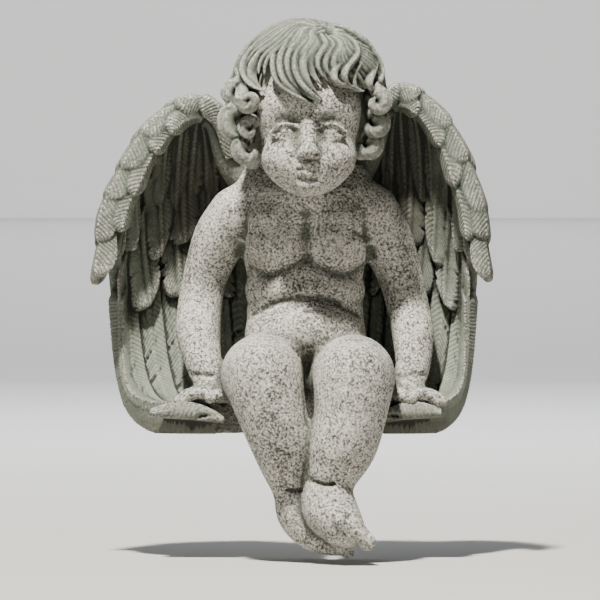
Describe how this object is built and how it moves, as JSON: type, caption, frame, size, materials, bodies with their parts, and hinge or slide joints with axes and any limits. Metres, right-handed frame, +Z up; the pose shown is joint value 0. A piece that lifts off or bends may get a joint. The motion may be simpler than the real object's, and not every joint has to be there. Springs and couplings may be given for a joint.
{
  "type": "putto statue",
  "caption": "Winged child of cast stone that sits on the edge of a ledge, ankles crossed, hands on the curled ends of its wings.",
  "frame": {"origin": "middle of the flat seat, on the ledge's top, 50 mm behind the ledge's front edge", "axes": "+Z up, the figure looks along -Y, +X to the right of somebody who faces it"},
  "size_m": [0.3534, 0.2286, 0.4834],
  "materials": {
    "cast_stone": "grey cast stone with a green patina, worn pale on raised forms, matt and finely grained"
  },
  "bodies": {
    "root": {"putto_statue": "cast_stone"}
  },
  "joints": []
}
